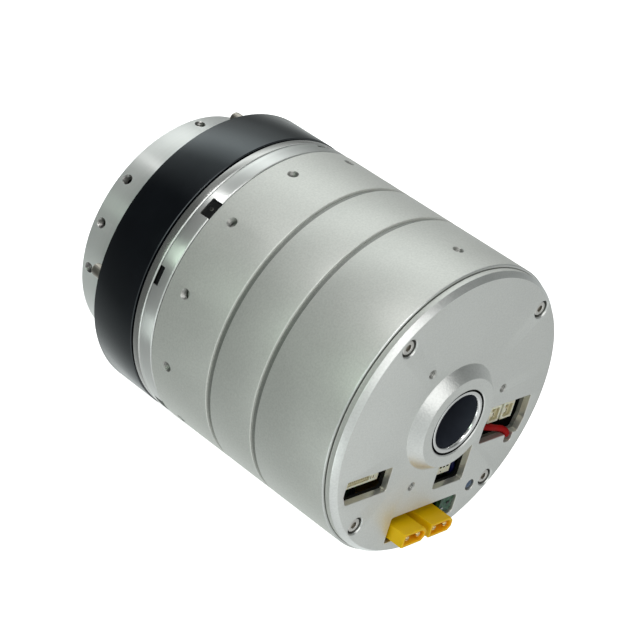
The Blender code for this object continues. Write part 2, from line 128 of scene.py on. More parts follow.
def turned_coords(tree):
    """A vector of (distance from the shaft axis, position along it), which is the same all the way round a turned face."""
    shift = node(tree, "ShaderNodeVectorMath", operation="SUBTRACT")
    tree.links.new(object_coords(tree), shift.inputs[0])
    shift.inputs[1].default_value = (0.0, 0.0, AXIS_Z * MM)
    split = node(tree, "ShaderNodeSeparateXYZ")
    tree.links.new(shift.outputs["Vector"], split.inputs["Vector"])
    flat = node(tree, "ShaderNodeCombineXYZ")
    tree.links.new(split.outputs["X"], flat.inputs["X"])
    tree.links.new(split.outputs["Z"], flat.inputs["Y"])
    length = node(tree, "ShaderNodeVectorMath", operation="LENGTH")
    tree.links.new(flat.outputs["Vector"], length.inputs[0])
    out = node(tree, "ShaderNodeCombineXYZ")
    tree.links.new(length.outputs["Value"], out.inputs["X"])
    tree.links.new(split.outputs["Y"], out.inputs["Y"])
    return out.outputs["Vector"]


def radial_tangent(tree, shader, amount):
    tangent = node(tree, "ShaderNodeTangent", direction_type="RADIAL", axis="Y")
    tree.links.new(tangent.outputs["Tangent"], shader.inputs["Tangent"])
    shader.inputs["Anisotropic"].default_value = amount


def blasted(name, light, dark, low, high, grain=0.16, metal=1.0):
    """Bead-blasted and clear anodised: an even fine grain, with faint clouds of colour and gloss."""
    mat, tree, shader = new_material(name, light, metal, low)
    obj = object_coords(tree)
    clouds = noise(tree, obj, 38.0, 4.0, 0.55)
    pits = noise(tree, obj, 1700.0, 1.5, 0.6)
    fine = noise(tree, obj, 2600.0, 2.0, 0.6)
    mix = node(tree, "ShaderNodeMath", operation="ADD")
    tree.links.new(span(tree, clouds, 0.0, 0.35), mix.inputs[0])
    tree.links.new(span(tree, pits, 0.0, 0.65), mix.inputs[1])
    tree.links.new(ramp(tree, mix.outputs[0], (0.34, dark), (0.68, light)), shader.inputs["Base Color"])
    tree.links.new(span(tree, clouds, low, high, 0.3, 0.7), shader.inputs["Roughness"])
    rough = bump(tree, shader, pits, grain, 0.00010)
    bump(tree, shader, fine, grain, 0.00005, rough)
    return mat


def turned(name, light, dark, low, high, lines, strength, aniso, metal=1.0):
    """Turned on a lathe: fine rings round the axis, with gloss that changes from ring to ring."""
    mat, tree, shader = new_material(name, light, metal, low)
    flat = turned_coords(tree)
    fine = noise(tree, flat, lines, 3.0, 0.7, "2D")
    broad = noise(tree, flat, lines * 0.11, 2.0, 0.5, "2D")
    smear = noise(tree, object_coords(tree), 55.0, 4.0, 0.6)
    both = node(tree, "ShaderNodeMath", operation="ADD")
    tree.links.new(span(tree, broad, 0.0, 0.5), both.inputs[0])
    tree.links.new(span(tree, smear, 0.0, 0.5), both.inputs[1])
    tree.links.new(ramp(tree, both.outputs[0], (0.3, dark), (0.7, light)), shader.inputs["Base Color"])
    tree.links.new(span(tree, both.outputs[0], high, low, 0.3, 0.7), shader.inputs["Roughness"])
    bump(tree, shader, fine, strength, 0.00003)
    if aniso:
        radial_tangent(tree, shader, aniso)
        shader.inputs["Anisotropic Rotation"].default_value = 0.25
    return mat


def moulded(name, light, dark, low, high, grain, subsurface=0.0, radius=(0.001, 0.0006, 0.0003), spec=0.5):
    """Moulded plastic: faint flow clouds, a fine spark-eroded grain and an uneven gloss."""
    mat, tree, shader = new_material(name, light, 0.0, low)
    obj = object_coords(tree)
    clouds = noise(tree, obj, 140.0, 4.0, 0.6)
    fine = noise(tree, obj, 2600.0, 3.0, 0.6)
    tree.links.new(ramp(tree, clouds, (0.3, dark), (0.7, light)), shader.inputs["Base Color"])
    tree.links.new(span(tree, clouds, low, high, 0.3, 0.7), shader.inputs["Roughness"])
    bump(tree, shader, fine, grain, 0.00006)
    shader.inputs["Specular IOR Level"].default_value = spec
    if subsurface:
        shader.inputs["Subsurface Weight"].default_value = subsurface
        shader.inputs["Subsurface Radius"].default_value = radius
        shader.inputs["Subsurface Scale"].default_value = 0.4
    return mat


def plain_metal(name, light, dark, low, high, scale=900.0, strength=0.1):
    """Ground or plated metal with short scratches and cloudy gloss."""
    mat, tree, shader = new_material(name, light, 1.0, low)
    obj = object_coords(tree)
    clouds = noise(tree, obj, 160.0, 4.0, 0.6)
    scratch = noise(tree, scaled(tree, obj, (1.0, 0.08, 1.0)), scale, 3.0, 0.6)
    tree.links.new(ramp(tree, clouds, (0.3, dark), (0.7, light)), shader.inputs["Base Color"])
    tree.links.new(span(tree, clouds, low, high, 0.3, 0.7), shader.inputs["Roughness"])
    bump(tree, shader, scratch, strength, 0.00003)
    return mat


def board_material():
    """Green solder mask over copper: tracks show as slightly lighter lines, with gold pads."""
    mat, tree, shader = new_material("board_mask", (0.01, 0.07, 0.035), 0.0, 0.35)
    obj = object_coords(tree)
    cells = node(tree, "ShaderNodeTexVoronoi", feature="DISTANCE_TO_EDGE", distance="CHEBYCHEV")
    cells.inputs["Scale"].default_value = 420.0
    tree.links.new(obj, cells.inputs["Vector"])
    tracks = ramp(tree, cells.outputs["Distance"], (0.03, (0.030, 0.115, 0.062)), (0.09, (0.009, 0.050, 0.030)))
    tree.links.new(tracks, shader.inputs["Base Color"])
    weave = noise(tree, obj, 1500.0, 2.0)
    tree.links.new(span(tree, weave, 0.28, 0.45), shader.inputs["Roughness"])
    bump(tree, shader, cells.outputs["Distance"], 0.15, 0.0002)
    return mat


def winding_material():
    mat, tree, shader = new_material("winding_copper", (0.6, 0.25, 0.09), 1.0, 0.3)
    flat = turned_coords(tree)
    wires = node(tree, "ShaderNodeTexWave", wave_type="BANDS", bands_direction="X")
    wires.inputs["Scale"].default_value = 700.0
    wires.inputs["Distortion"].default_value = 2.0
    tree.links.new(flat, wires.inputs["Vector"])
    tree.links.new(ramp(tree, wires.outputs["Fac"], (0.1, (0.22, 0.08, 0.03)), (0.7, (0.72, 0.33, 0.13))),
                   shader.inputs["Base Color"])
    tree.links.new(span(tree, wires.outputs["Fac"], 0.5, 0.25), shader.inputs["Roughness"])
    bump(tree, shader, wires.outputs["Fac"], 0.6, 0.0003)
    return mat


BLASTED = blasted("blasted_aluminium", (0.785, 0.79, 0.758), (0.685, 0.69, 0.66), 0.44, 0.51, 0.24, 0.55)
FACE = blasted("blasted_face", (0.765, 0.775, 0.76), (0.685, 0.695, 0.68), 0.44, 0.52, 0.14, 0.75)
EDGE = blasted("machined_edge", (0.79, 0.80, 0.79), (0.69, 0.70, 0.69), 0.33, 0.42, 0.5)
RIM = blasted("turned_chamfer", (0.88, 0.89, 0.88), (0.78, 0.79, 0.78), 0.31, 0.40, 0.5)
# Grey painted shade: groove floors, the step at the seam, counterbore walls, the right window's deep walls and the
# deeper halves of the body holes.
SHADED = blasted("painted_shade_grey", (0.43, 0.435, 0.415), (0.34, 0.345, 0.33), 0.5, 0.6, 0.2)
TURNED = turned("turned_aluminium", (0.88, 0.89, 0.875), (0.76, 0.77, 0.755), 0.31, 0.37, 5200.0, 0.08, 0.97, 0.88)
FLANGE = turned("turned_flange", (0.96, 0.97, 0.955), (0.88, 0.89, 0.875), 0.29, 0.35, 5200.0, 0.08, 0.97, 0.55)
STEEL = turned("ground_steel", (0.62, 0.615, 0.60), (0.46, 0.455, 0.445), 0.18, 0.26, 5600.0, 0.08, 0.7, 0.85)
POLISHED = turned("polished_steel", (0.86, 0.86, 0.86), (0.76, 0.76, 0.77), 0.14, 0.22, 4200.0, 0.05, 0.2)
CAP = plain_metal("cap_screw_steel", (0.66, 0.615, 0.55), (0.44, 0.405, 0.36), 0.26, 0.40)
SCREW = plain_metal("screw_steel", (0.80, 0.785, 0.755), (0.62, 0.605, 0.58), 0.24, 0.38)
BORE = moulded("bore_coating", (0.044, 0.050, 0.067), (0.030, 0.035, 0.048), 0.30, 0.42, 0.08)
BLACK = moulded("black_oxide", (0.0016, 0.0022, 0.0042), (0.0010, 0.0014, 0.0028), 0.16, 0.23, 0.03, spec=1.0)
BLACK.node_tree.nodes["Principled BSDF"].inputs["Specular Tint"].default_value = (0.86, 0.95, 1.0, 1.0)
LUG = moulded("black_lug", (0.008, 0.008, 0.009), (0.005, 0.005, 0.006), 0.35, 0.5, 0.10, spec=0.3)
# Grey metal for the raised dots on the black lugs, lighter than the lug: partly a painted highlight.
PUNCH = plain_metal("lug_dot_painted_highlight", (0.20, 0.195, 0.185), (0.10, 0.098, 0.094), 0.3, 0.45)
# Darker metal that paints the shade inside the flange's radial tapped holes.
TAPPED = plain_metal("tapped_wall_painted_shade", (0.42, 0.415, 0.40), (0.24, 0.235, 0.23), 0.24, 0.38)
# Aluminium darkened to paint the shade inside the drilled and tapped holes of the cover and tube.
HOLE = blasted("drilled_wall_painted_shade", (0.50, 0.50, 0.48), (0.40, 0.40, 0.385), 0.36, 0.46, 0.1, 0.7)
# Screw steel darkened to paint the shade inside the cover screws' hex sockets.
SOCKET = plain_metal("hex_socket_painted_shade", (0.46, 0.44, 0.39), (0.30, 0.28, 0.25), 0.28, 0.42)
THREAD = plain_metal("thread_aluminium", (0.66, 0.66, 0.64), (0.46, 0.46, 0.44), 0.20, 0.32)
YELLOW = moulded("yellow_nylon", (0.83, 0.51, 0.001), (0.76, 0.45, 0.0005), 0.34, 0.46, 0.10, 0.10,
                 (0.0012, 0.0007, 0.0001), spec=0.3)
# A lighter, more translucent copy of the yellow nylon for the plug cavities: painted light, as if lit through the
# shell.
GLOW = moulded("yellow_cavity_painted_light", (1.0, 0.55, 0.006), (0.90, 0.46, 0.003), 0.4, 0.5, 0.10, 0.5,
               (0.002, 0.0012, 0.0002), spec=0.3)
CREAM = moulded("cream_nylon", (0.82, 0.80, 0.655), (0.75, 0.73, 0.58), 0.40, 0.52, 0.08, 0.15)
# A darker copy of the cream nylon for the sockets' recesses: painted shade.
TAN = moulded("cream_recess_painted_shade", (0.67, 0.62, 0.42), (0.57, 0.52, 0.34), 0.45, 0.6, 0.08)
# Dark brown painted shade in the sockets' contact slots and notches.
BROWN = moulded("contact_slot_painted_shade", (0.15, 0.12, 0.065), (0.09, 0.072, 0.04), 0.5, 0.65, 0.08)
CONTACT = moulded("tin_contact", (0.50, 0.45, 0.28), (0.40, 0.36, 0.22), 0.35, 0.5, 0.05)
GOLD = plain_metal("gold_plate", (1.0, 0.78, 0.38), (0.88, 0.62, 0.26), 0.14, 0.24)
RED = moulded("red_silicone", (0.34, 0.003, 0.004), (0.17, 0.0015, 0.002), 0.42, 0.55, 0.10, spec=0.10)
BLUE = moulded("blue_silicone", (0.010, 0.012, 0.10), (0.006, 0.007, 0.06), 0.36, 0.5, 0.10, spec=0.3)
LENS = moulded("light_pipe", (0.06, 0.10, 0.18), (0.035, 0.065, 0.12), 0.10, 0.20, 0.03)
BOARD = board_material()
CHIP = moulded("chip_epoxy", (0.018, 0.018, 0.019), (0.012, 0.012, 0.013), 0.4, 0.55, 0.2)
SOLDER = plain_metal("solder", (0.62, 0.62, 0.63), (0.48, 0.48, 0.5), 0.25, 0.4)
RUBBER = moulded("seal_rubber", (0.016, 0.016, 0.016), (0.010, 0.010, 0.010), 0.55, 0.75, 0.25)
# Near-black painted shade: inner faces, seams, hole bottoms, hex sockets and the deep walls of the windows.
DARK = moulded("painted_shade_black", (0.012, 0.0122, 0.0118), (0.007, 0.007, 0.007), 0.55, 0.7, 0.1, spec=0.2)
MILLED = blasted("milled_wall", (0.74, 0.73, 0.69), (0.67, 0.66, 0.62), 0.27, 0.33, 0.03, 0.78)
INSIDE = {
    "anodised_aluminium": BLASTED, "turned_aluminium": TURNED, "black_steel": BLACK, "polished_steel": STEEL,
    "bearing_steel": turned("bearing_steel", (0.58, 0.58, 0.58), (0.46, 0.46, 0.46), 0.16, 0.26, 5000.0, 0.1, 0.3),
    "core_iron": turned("core_laminations", (0.30, 0.30, 0.31), (0.14, 0.14, 0.145), 0.4, 0.55, 2400.0, 0.5, 0.0),
    "copper_winding": winding_material(), "circuit_board": BOARD, "white_connector": CREAM,
    "yellow_connector": YELLOW, "gold_pin": GOLD, "red_wire": RED, "blue_wire": BLUE, "light_pipe": LENS,
    "brass_standoff": plain_metal("brass", (0.72, 0.55, 0.25), (0.55, 0.41, 0.18), 0.28, 0.4),
    "brake_body": blasted("phosphate", (0.10, 0.10, 0.105), (0.06, 0.06, 0.062), 0.5, 0.65),
    "magnet": plain_metal("nickel_plate", (0.60, 0.58, 0.54), (0.46, 0.44, 0.41), 0.2, 0.32),
    "friction_lining": moulded("friction_lining", (0.10, 0.085, 0.075), (0.05, 0.043, 0.04), 0.75, 0.95, 0.6),
    "code_disc": moulded("code_disc", (0.20, 0.22, 0.24), (0.15, 0.16, 0.18), 0.10, 0.2, 0.03),
    "seal_rubber": RUBBER,
}


# ---------------------------------------------------------------- mesh helpers

def polar(r, deg):
    return r * math.cos(math.radians(deg)), r * math.sin(math.radians(deg))


def add_turned(bm, profile, seg=SEG, slots=0):
    """A closed (radius, y) profile turned about the shaft axis. slots gives the material of each side of the profile."""
    rings = []
    for i in range(seg):
        a = 2 * math.pi * i / seg
        rings.append([bm.verts.new((r * math.cos(a), y, r * math.sin(a))) for r, y in profile])
    n = len(profile)
    for i in range(seg):
        a, b = rings[i], rings[(i + 1) % seg]
        for j in range(n):
            face = bm.faces.new((a[j], a[(j + 1) % n], b[(j + 1) % n], b[j]))
            face.material_index = slots if isinstance(slots, int) else slots[j]


def axes_of(axis):
    axis = Vector(axis).normalized()
    side = Vector((0, 1, 0)) if abs(axis.y) < 0.9 else Vector((1, 0, 0))
    u = (side - axis * side.dot(axis)).normalized()
    return axis, u, axis.cross(u)


def add_lathe(bm, origin, axis, profile, seg=32, slots=0, shape=None):
    """A solid of (depth, radius) rows along an axis, closed with a face at each end. shape(row, angle) may scale a radius."""
    origin = Vector(origin)
    axis, u, v = axes_of(axis)
    rows = []
    for k, (depth, r) in enumerate(profile):
        row = []
        for i in range(seg):
            a = 2 * math.pi * (i + 0.5) / seg
            rr = r * (shape(k, a) if shape else 1.0)
            row.append(bm.verts.new(origin + axis * depth + u * (rr * math.cos(a)) + v * (rr * math.sin(a))))
        rows.append(row)
    for k, (a, b) in enumerate(zip(rows[:-1], rows[1:])):
        for i in range(seg):
            face = bm.faces.new((a[i], b[i], b[(i + 1) % seg], a[(i + 1) % seg]))
            face.material_index = slots if isinstance(slots, int) else slots[k]
    first = slots if isinstance(slots, int) else slots[0]
    last = slots if isinstance(slots, int) else slots[-1]
    bm.faces.new(rows[0]).material_index = first
    bm.faces.new(rows[-1][::-1]).material_index = last


def rounded(points, r, steps=5):
    """An outline with each corner rounded. r is one radius or one for each corner."""
    out = []
    n = len(points)
    for i, point in enumerate(points):
        rad = r if isinstance(r, (int, float)) else r[i]
        p, a, b = Vector(point), Vector(points[i - 1]), Vector(points[(i + 1) % n])
        if rad <= 0:
            out.append(tuple(p))
            continue
        d1, d2 = (a - p), (b - p)
        l1, l2 = d1.length, d2.length
        d1.normalize()
        d2.normalize()
        half = math.acos(max(-1.0, min(1.0, d1.dot(d2)))) / 2
        t = min(rad / math.tan(half), 0.46 * l1, 0.46 * l2)
        start, end = p + d1 * t, p + d2 * t
        for s in range(steps + 1):
            f = s / steps
            out.append(tuple(start * (1 - f) ** 2 + p * (2 * f * (1 - f)) + end * f ** 2))
    return out


def widened(points, d):
    """An outline moved outwards by d."""
    n = len(points)
    area = sum(points[i][0] * points[(i + 1) % n][1] - points[(i + 1) % n][0] * points[i][1] for i in range(n))
    sign = 1 if area > 0 else -1
    out = []
    for i in range(n):
        p, a, b = Vector(points[i]), Vector(points[i - 1]), Vector(points[(i + 1) % n])
        e1, e2 = (p - a).normalized(), (b - p).normalized()
        n1, n2 = Vector((e1.y, -e1.x)) * sign, Vector((e2.y, -e2.x)) * sign
        k = 1 + n1.dot(n2)
        out.append(tuple(p + (n1 + n2) * (d / max(k, 0.35))))
    return out


def add_loft(bm, layers, slots=0, cap=(0, 0)):
    """A solid through (y, outline) layers, all with the same number of (x, z) points."""
    rows = [[bm.verts.new((x, y, z)) for x, z in outline] for y, outline in layers]
    n = len(rows[0])
    for k, (a, b) in enumerate(zip(rows[:-1], rows[1:])):
        for i in range(n):
            face = bm.faces.new((a[i], b[i], b[(i + 1) % n], a[(i + 1) % n]))
            face.material_index = slots if isinstance(slots, int) else slots[k]
    bm.faces.new(rows[0]).material_index = cap[0]
    bm.faces.new(rows[-1][::-1]).material_index = cap[1]


def add_box(bm, x0, x1, y0, y1, z0, z1, edge=0.12, slot=0):
    """A block with its corners and edges broken."""
    body = rounded([(x0, z0), (x1, z0), (x1, z1), (x0, z1)], edge * 1.5, 3)
    small = widened(body, -edge)
    add_loft(bm, [(y0, small), (y0 + edge, body), (y1 - edge, body), (y1, small)], slot, (slot, slot))


def add_radial_block(bm, deg, y0, y1, half, r0, r1, slot=0, edge=0.0):
    a = math.radians(deg)
    out, side = Vector((math.cos(a), 0, math.sin(a))), Vector((-math.sin(a), 0, math.cos(a)))
    outline = rounded([(-half, y0), (half, y0), (half, y1), (-half, y1)], 0.35, 4)
    layers = [(r0, outline), (r1 - edge, outline)] + ([(r1, widened(outline, -edge))] if edge else [])
    rows = [[bm.verts.new(out * r + side * s + Vector((0, y, 0))) for s, y in pts] for r, pts in layers]
    n = len(outline)
    for p, q in zip(rows[:-1], rows[1:]):
        for i in range(n):
            bm.faces.new((p[i], q[i], q[(i + 1) % n], p[(i + 1) % n])).material_index = slot
    bm.faces.new(rows[0]).material_index = slot
    bm.faces.new(rows[-1][::-1]).material_index = slot


def to_object(name, bm, mats):
    bmesh.ops.recalc_face_normals(bm, faces=bm.faces)
    for vert in bm.verts:
        vert.co = Vector((vert.co.x * MM, (vert.co.y - Y_MID) * MM, (vert.co.z + AXIS_Z) * MM))
    mesh = bpy.data.meshes.new(name)
    bm.to_mesh(mesh)
    bm.free()
    for mat in mats:
        mesh.materials.append(mat)
    obj = bpy.data.objects.new(name, mesh)
    bpy.context.scene.collection.objects.link(obj)
    return obj


def cut(obj, bm, mat, operation="DIFFERENCE"):
    """Cuts obj with a helper made from bm, whose walls take their own material or materials."""
    helper = to_object(obj.name + "_helper", bm, mat if isinstance(mat, tuple) else [mat])
    mod = obj.modifiers.new("cut", "BOOLEAN")
    mod.operation = operation
    mod.solver = "EXACT"
    mod.material_mode = "TRANSFER"
    mod.object = helper
    graph = bpy.context.evaluated_depsgraph_get()
    mesh = bpy.data.meshes.new_from_object(obj.evaluated_get(graph), depsgraph=graph)
    obj.modifiers.clear()
    old = obj.data
    obj.data = mesh
    bpy.data.meshes.remove(old)
    bpy.data.objects.remove(helper, do_unlink=True)
    # Clears the slivers that a cut leaves where two edges nearly meet.
    bm = bmesh.new()
    bm.from_mesh(mesh)
    bmesh.ops.remove_doubles(bm, verts=bm.verts, dist=2e-6)
    bmesh.ops.dissolve_degenerate(bm, edges=bm.edges, dist=2e-6)
    bm.to_mesh(mesh)
    bm.free()


def settle(obj, body, slot, *nodes, angle=26):
    """Smooth shading with sharp edges, then the piece joins its body and stands for its CAD nodes."""
    for poly in obj.data.polygons:
        poly.use_smooth = True
    obj.data.set_sharp_from_angle(angle=math.radians(angle))
    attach(obj, body)
    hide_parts(*nodes)
    return obj


def thread_profile(r, depth, pitch=0.5, tooth=0.22, flare=0.3, out=1.0):
    rows = [(-out, r + flare + out), (flare, r)]
    d = flare + pitch / 2
    wide = True
    while d < depth - 0.3:
        rows.append((d, r + tooth if wide else r - 0.02))
        wide = not wide
        d += pitch / 2
    rows += [(depth, r - 0.02), (depth + 0.5, 0.12)]
    return rows


def hexagon(af):
    """Radius of a hexagonal socket at an angle, for a row of radius 1."""
    def radius(a):
        k = math.pi / 3
        return af / 2 / math.cos((a + k / 2) % k - k / 2)
    return radius


def add_socket_screw(bm, origin, axis, head_r, head_h, af, deep, seg=48):
    """A cap screw's head, standing along axis from origin, with a hexagon socket in its end."""
    hexr = hexagon(af)
    rows = [(0.0, head_r), (head_h - 0.35, head_r), (head_h - 0.12, head_r - 0.08), (head_h, head_r - 0.32),
            (head_h, af * 0.62), (head_h - 0.12, 1.0), (head_h - deep, 1.0), (head_h - deep - 0.35, 0.1)]

    def shape(k, a):
        return hexr(a) if k in (5, 6) else 1.0
    add_lathe(bm, origin, axis, rows, seg, [0, 0, 0, 0, 0, 1, 1], shape)


# ---------------------------------------------------------------- cover

WIN_LEFT = rounded([(-39.4, -11.9), (-20.1, -11.9), (-20.1, -20.1), (-37.6, -20.1), (-39.4, -16.6)],
                   [0.5, 0.5, 0.9, 1.2, 2.0])
FOOT = 17.95
WIN_MID = [(x, -math.sqrt(FOOT ** 2 - x ** 2)) for x in (3.1, 4.4, 5.7, 7.0, 8.2, 9.4, 10.5)] + [
    (math.sqrt(FOOT ** 2 - 14.3 ** 2), -14.3), (16.4, -14.3), (16.75, -14.45), (16.9, -14.8), (16.9, -25.7),
    (16.82, -26.15), (16.64, -26.42), (16.4, -26.55), (16.0, -26.6), (4.3, -26.6), (3.6, -26.35), (3.2, -25.9),
    (3.1, -25.3)]
WIN_RIGHT = rounded([(20.0, -2.3), (39.9, -2.3), (39.9, -10.6), (38.6, -15.0), (36.6, -15.0), (36.6, -18.1),
                     (33.0, -18.1), (33.0, -15.0), (20.0, -15.0)], [0.5, 0.9, 2.0, 0.5, 0.5, 1.75, 1.75, 0.8, 1.0])
WIN_POWER = rounded([(-12.7, -32.0), (17.3, -32.0), (17.3, -38.6), (13.2, -38.6), (11.8, -41.0), (-12.7, -41.0)],
                    [0.9, 1.5, 1.5, 0.8, 0.8, 0.8])
SCREW_ANGLES = (45, 135, 225, 315)


def window(bm, outline, flare=0.14):
    wide = widened(outline, flare)
    add_loft(bm, [(-1.0, wide), (-0.012, wide), (flare - 0.012, outline), (2.2, outline)])


def window_back(bm, outline):
    """Behind a front edge 2.1 mm thick, each window is relieved by a small step, whose walls the caller cuts in painted
    shade.
    """
    wide = widened(outline, 0.3)
    add_loft(bm, [(2.1, wide), (5.0, wide)])


def build_cover():
    bm = bmesh.new()
    profile = [(10.9, 3.5), (10.9, -3.3), (11.2, -3.6), (14.72, -3.6), (14.95, -3.44), (17.6, -0.16), (17.72, -0.04),
               (17.9, 0.0), (45.1, 0.0), (45.27, 0.08), (46.5, 1.62), (46.6, 1.8), (46.6, 3.34), (46.52, 3.42),
               (45.9, 3.42), (45.9, 3.5)]
    # Slot 1 paints the bore of the boss, the bottom of the seam and the inside face near-black as shade.
    slots = [1, 2, 0, 2, 2, 0, 0, 0, 4, 4, 4, 3, 3, 0, 1, 1]
    add_turned(bm, profile, SEG, slots)
    cover = to_object("connector_cover", bm, [FACE, DARK, EDGE, BLASTED, RIM])
    bm = bmesh.new()
    for outline in (WIN_LEFT, WIN_MID, WIN_RIGHT, WIN_POWER):
        window(bm, outline)
    cut(cover, bm, MILLED)
    # The relief steps of three windows are cut near-black and the right one grey: painted shade deep in the windows.
    bm = bmesh.new()
    for outline in (WIN_LEFT, WIN_MID, WIN_POWER):
        window_back(bm, outline)
    cut(cover, bm, DARK)
    bm = bmesh.new()
    window_back(bm, WIN_RIGHT)
    cut(cover, bm, SHADED)
    bm = bmesh.new()
    add_lathe(bm, (22.6, 0, -30.4), (0, 1, 0), [(-1.0, 3.05), (0.15, 1.9), (5.0, 1.9)], 64)
    cut(cover, bm, MILLED)
    bm = bmesh.new()
    for deg in SCREW_ANGLES:
        x, z = polar(41.8, deg)
        add_lathe(bm, (x, 0, z), (0, 1, 0), [(-1.0, 4.1), (0.22, 2.88), (0.5, 2.7)], 96)
    cut(cover, bm, EDGE)
    # The counterbore walls take grey painted shade.
    bm = bmesh.new()
    for deg in SCREW_ANGLES:
        x, z = polar(41.8, deg)
        add_lathe(bm, (x, 0, z), (0, 1, 0), [(-1.0, 2.76), (2.3, 2.76), (2.3, 1.5), (5.0, 1.5)], 96)
    cut(cover, bm, SHADED)
    # The three tapped holes take aluminium darkened as painted shade.
    bm = bmesh.new()
    for deg in (10, 130, 250):
        x, z = polar(23.5, deg)
        add_lathe(bm, (x, 0, z), (0, 1, 0), thread_profile(1.2, 2.2), 28)
    cut(cover, bm, HOLE)
    # Their bottoms are painted near-black as shade.
    bm = bmesh.new()
    for deg in (10, 130, 250):
        x, z = polar(23.5, deg)
        add_lathe(bm, (x, 1.6, z), (0, 1, 0), [(0.0, 1.45), (4.0, 1.45)], 28)
    cut(cover, bm, DARK)
    settle(cover, "housing", "anodised_aluminium", "rear_cover")
    for i, deg in enumerate(SCREW_ANGLES, 1):
        x, z = polar(41.8, deg)
        bm = bmesh.new()
        add_socket_screw(bm, (x, 2.3, z), (0, -1, 0), 2.25, 1.75, 2.0, 0.8, 72)
        # The hex socket takes screw steel darkened as painted shade.
        screw = to_object(f"cover_cap_screw_{i}", bm, [SCREW, SOCKET])
        settle(screw, "housing", "polished_steel", f"cover_screw_{i}")


# ---------------------------------------------------------------- tube sections

def radial_holes(obj, angles, y, r_out, r, depth, wall, end, pitch=0.5, tooth=0.22):
    """Tapped holes towards the axis, their walls in a darkened metal and their deeper half, drill point included, in a
    still darker one: painted shade below the thread.
    """
    bm = bmesh.new()
    rows = thread_profile(r, depth, pitch, tooth)
    slots = [1 if low[0] > depth * 0.5 else 0 for low in rows[:-1]]
    for deg in angles:
        a = math.radians(deg)
        out = Vector((math.cos(a), 0, math.sin(a)))
        add_lathe(bm, out * r_out + Vector((0, y, 0)), -out, rows, 32, slots)
    cut(obj, bm, (wall, end))


def build_tube():
    bm = bmesh.new()
    # Slot 1 paints the faces in the seam and inside the tube near-black, and slot 3 paints the step beside the seam and
    # the groove floor grey: painted shade.
    add_turned(bm, [(43.5, 3.65), (46.2, 3.65), (46.8, 3.65), (47.2, 3.65), (47.3, 3.68), (47.45, 3.83), (47.5, 3.96), (47.5, 31.0),
                    (47.44, 31.2), (47.3, 31.3), (46.75, 31.3), (46.75, 32.24), (43.5, 32.24)], SEG,
               [1, 3, 2, 2, 2, 2, 0, 0, 0, 0, 3, 1, 1])
    rear = to_object("housing_rear", bm, [BLASTED, DARK, EDGE, SHADED])
    # The hole takes painted shade: a darkened wall and a grey deeper half.
    radial_holes(rear, (90,), 14.4, 47.5, 1.4, 3.0, HOLE, SHADED)
    settle(rear, "housing", "anodised_aluminium", "rear_housing")
    bm = bmesh.new()
    # Slot 3 paints the groove floors grey and slot 1 the inner faces near-black: painted shade.
    add_turned(bm, [(43.5, 32.26), (46.75, 32.26), (46.75, 33.1), (47.26, 33.16), (47.45, 33.34), (47.5, 33.5), (47.5, 49.8),
                    (47.44, 50.0), (47.3, 50.1), (46.75, 50.1), (46.75, 51.04), (43.5, 51.04)], SEG,
               [1, 3, 0, 0, 0, 0, 0, 0, 0, 3, 1, 1])
    settle(to_object("housing_middle", bm, [BLASTED, DARK, EDGE, SHADED]), "housing", "anodised_aluminium", "mid_housing")
    bm = bmesh.new()
    # Slot 3 paints the groove floor grey and slot 1 the inner faces near-black: painted shade.
    add_turned(bm, [(43.5, 51.06), (46.75, 51.06), (46.75, 51.9), (47.26, 51.96), (47.45, 52.14), (47.5, 52.3), (47.5, 75.6),
                    (47.4, 75.78), (47.2, 75.9), (43.5, 75.9)], SEG, [1, 3, 0, 0, 0, 0, 0, 0, 1, 1])
    front = to_object("housing_front", bm, [BLASTED, DARK, EDGE, SHADED])
    # The holes take painted shade: darkened walls and grey deeper halves.
    radial_holes(front, [15 + 30 * k for k in range(12)], 69.0, 47.5, 1.4, 3.0, HOLE, SHADED)
    settle(front, "housing", "anodised_aluminium", "front_housing")


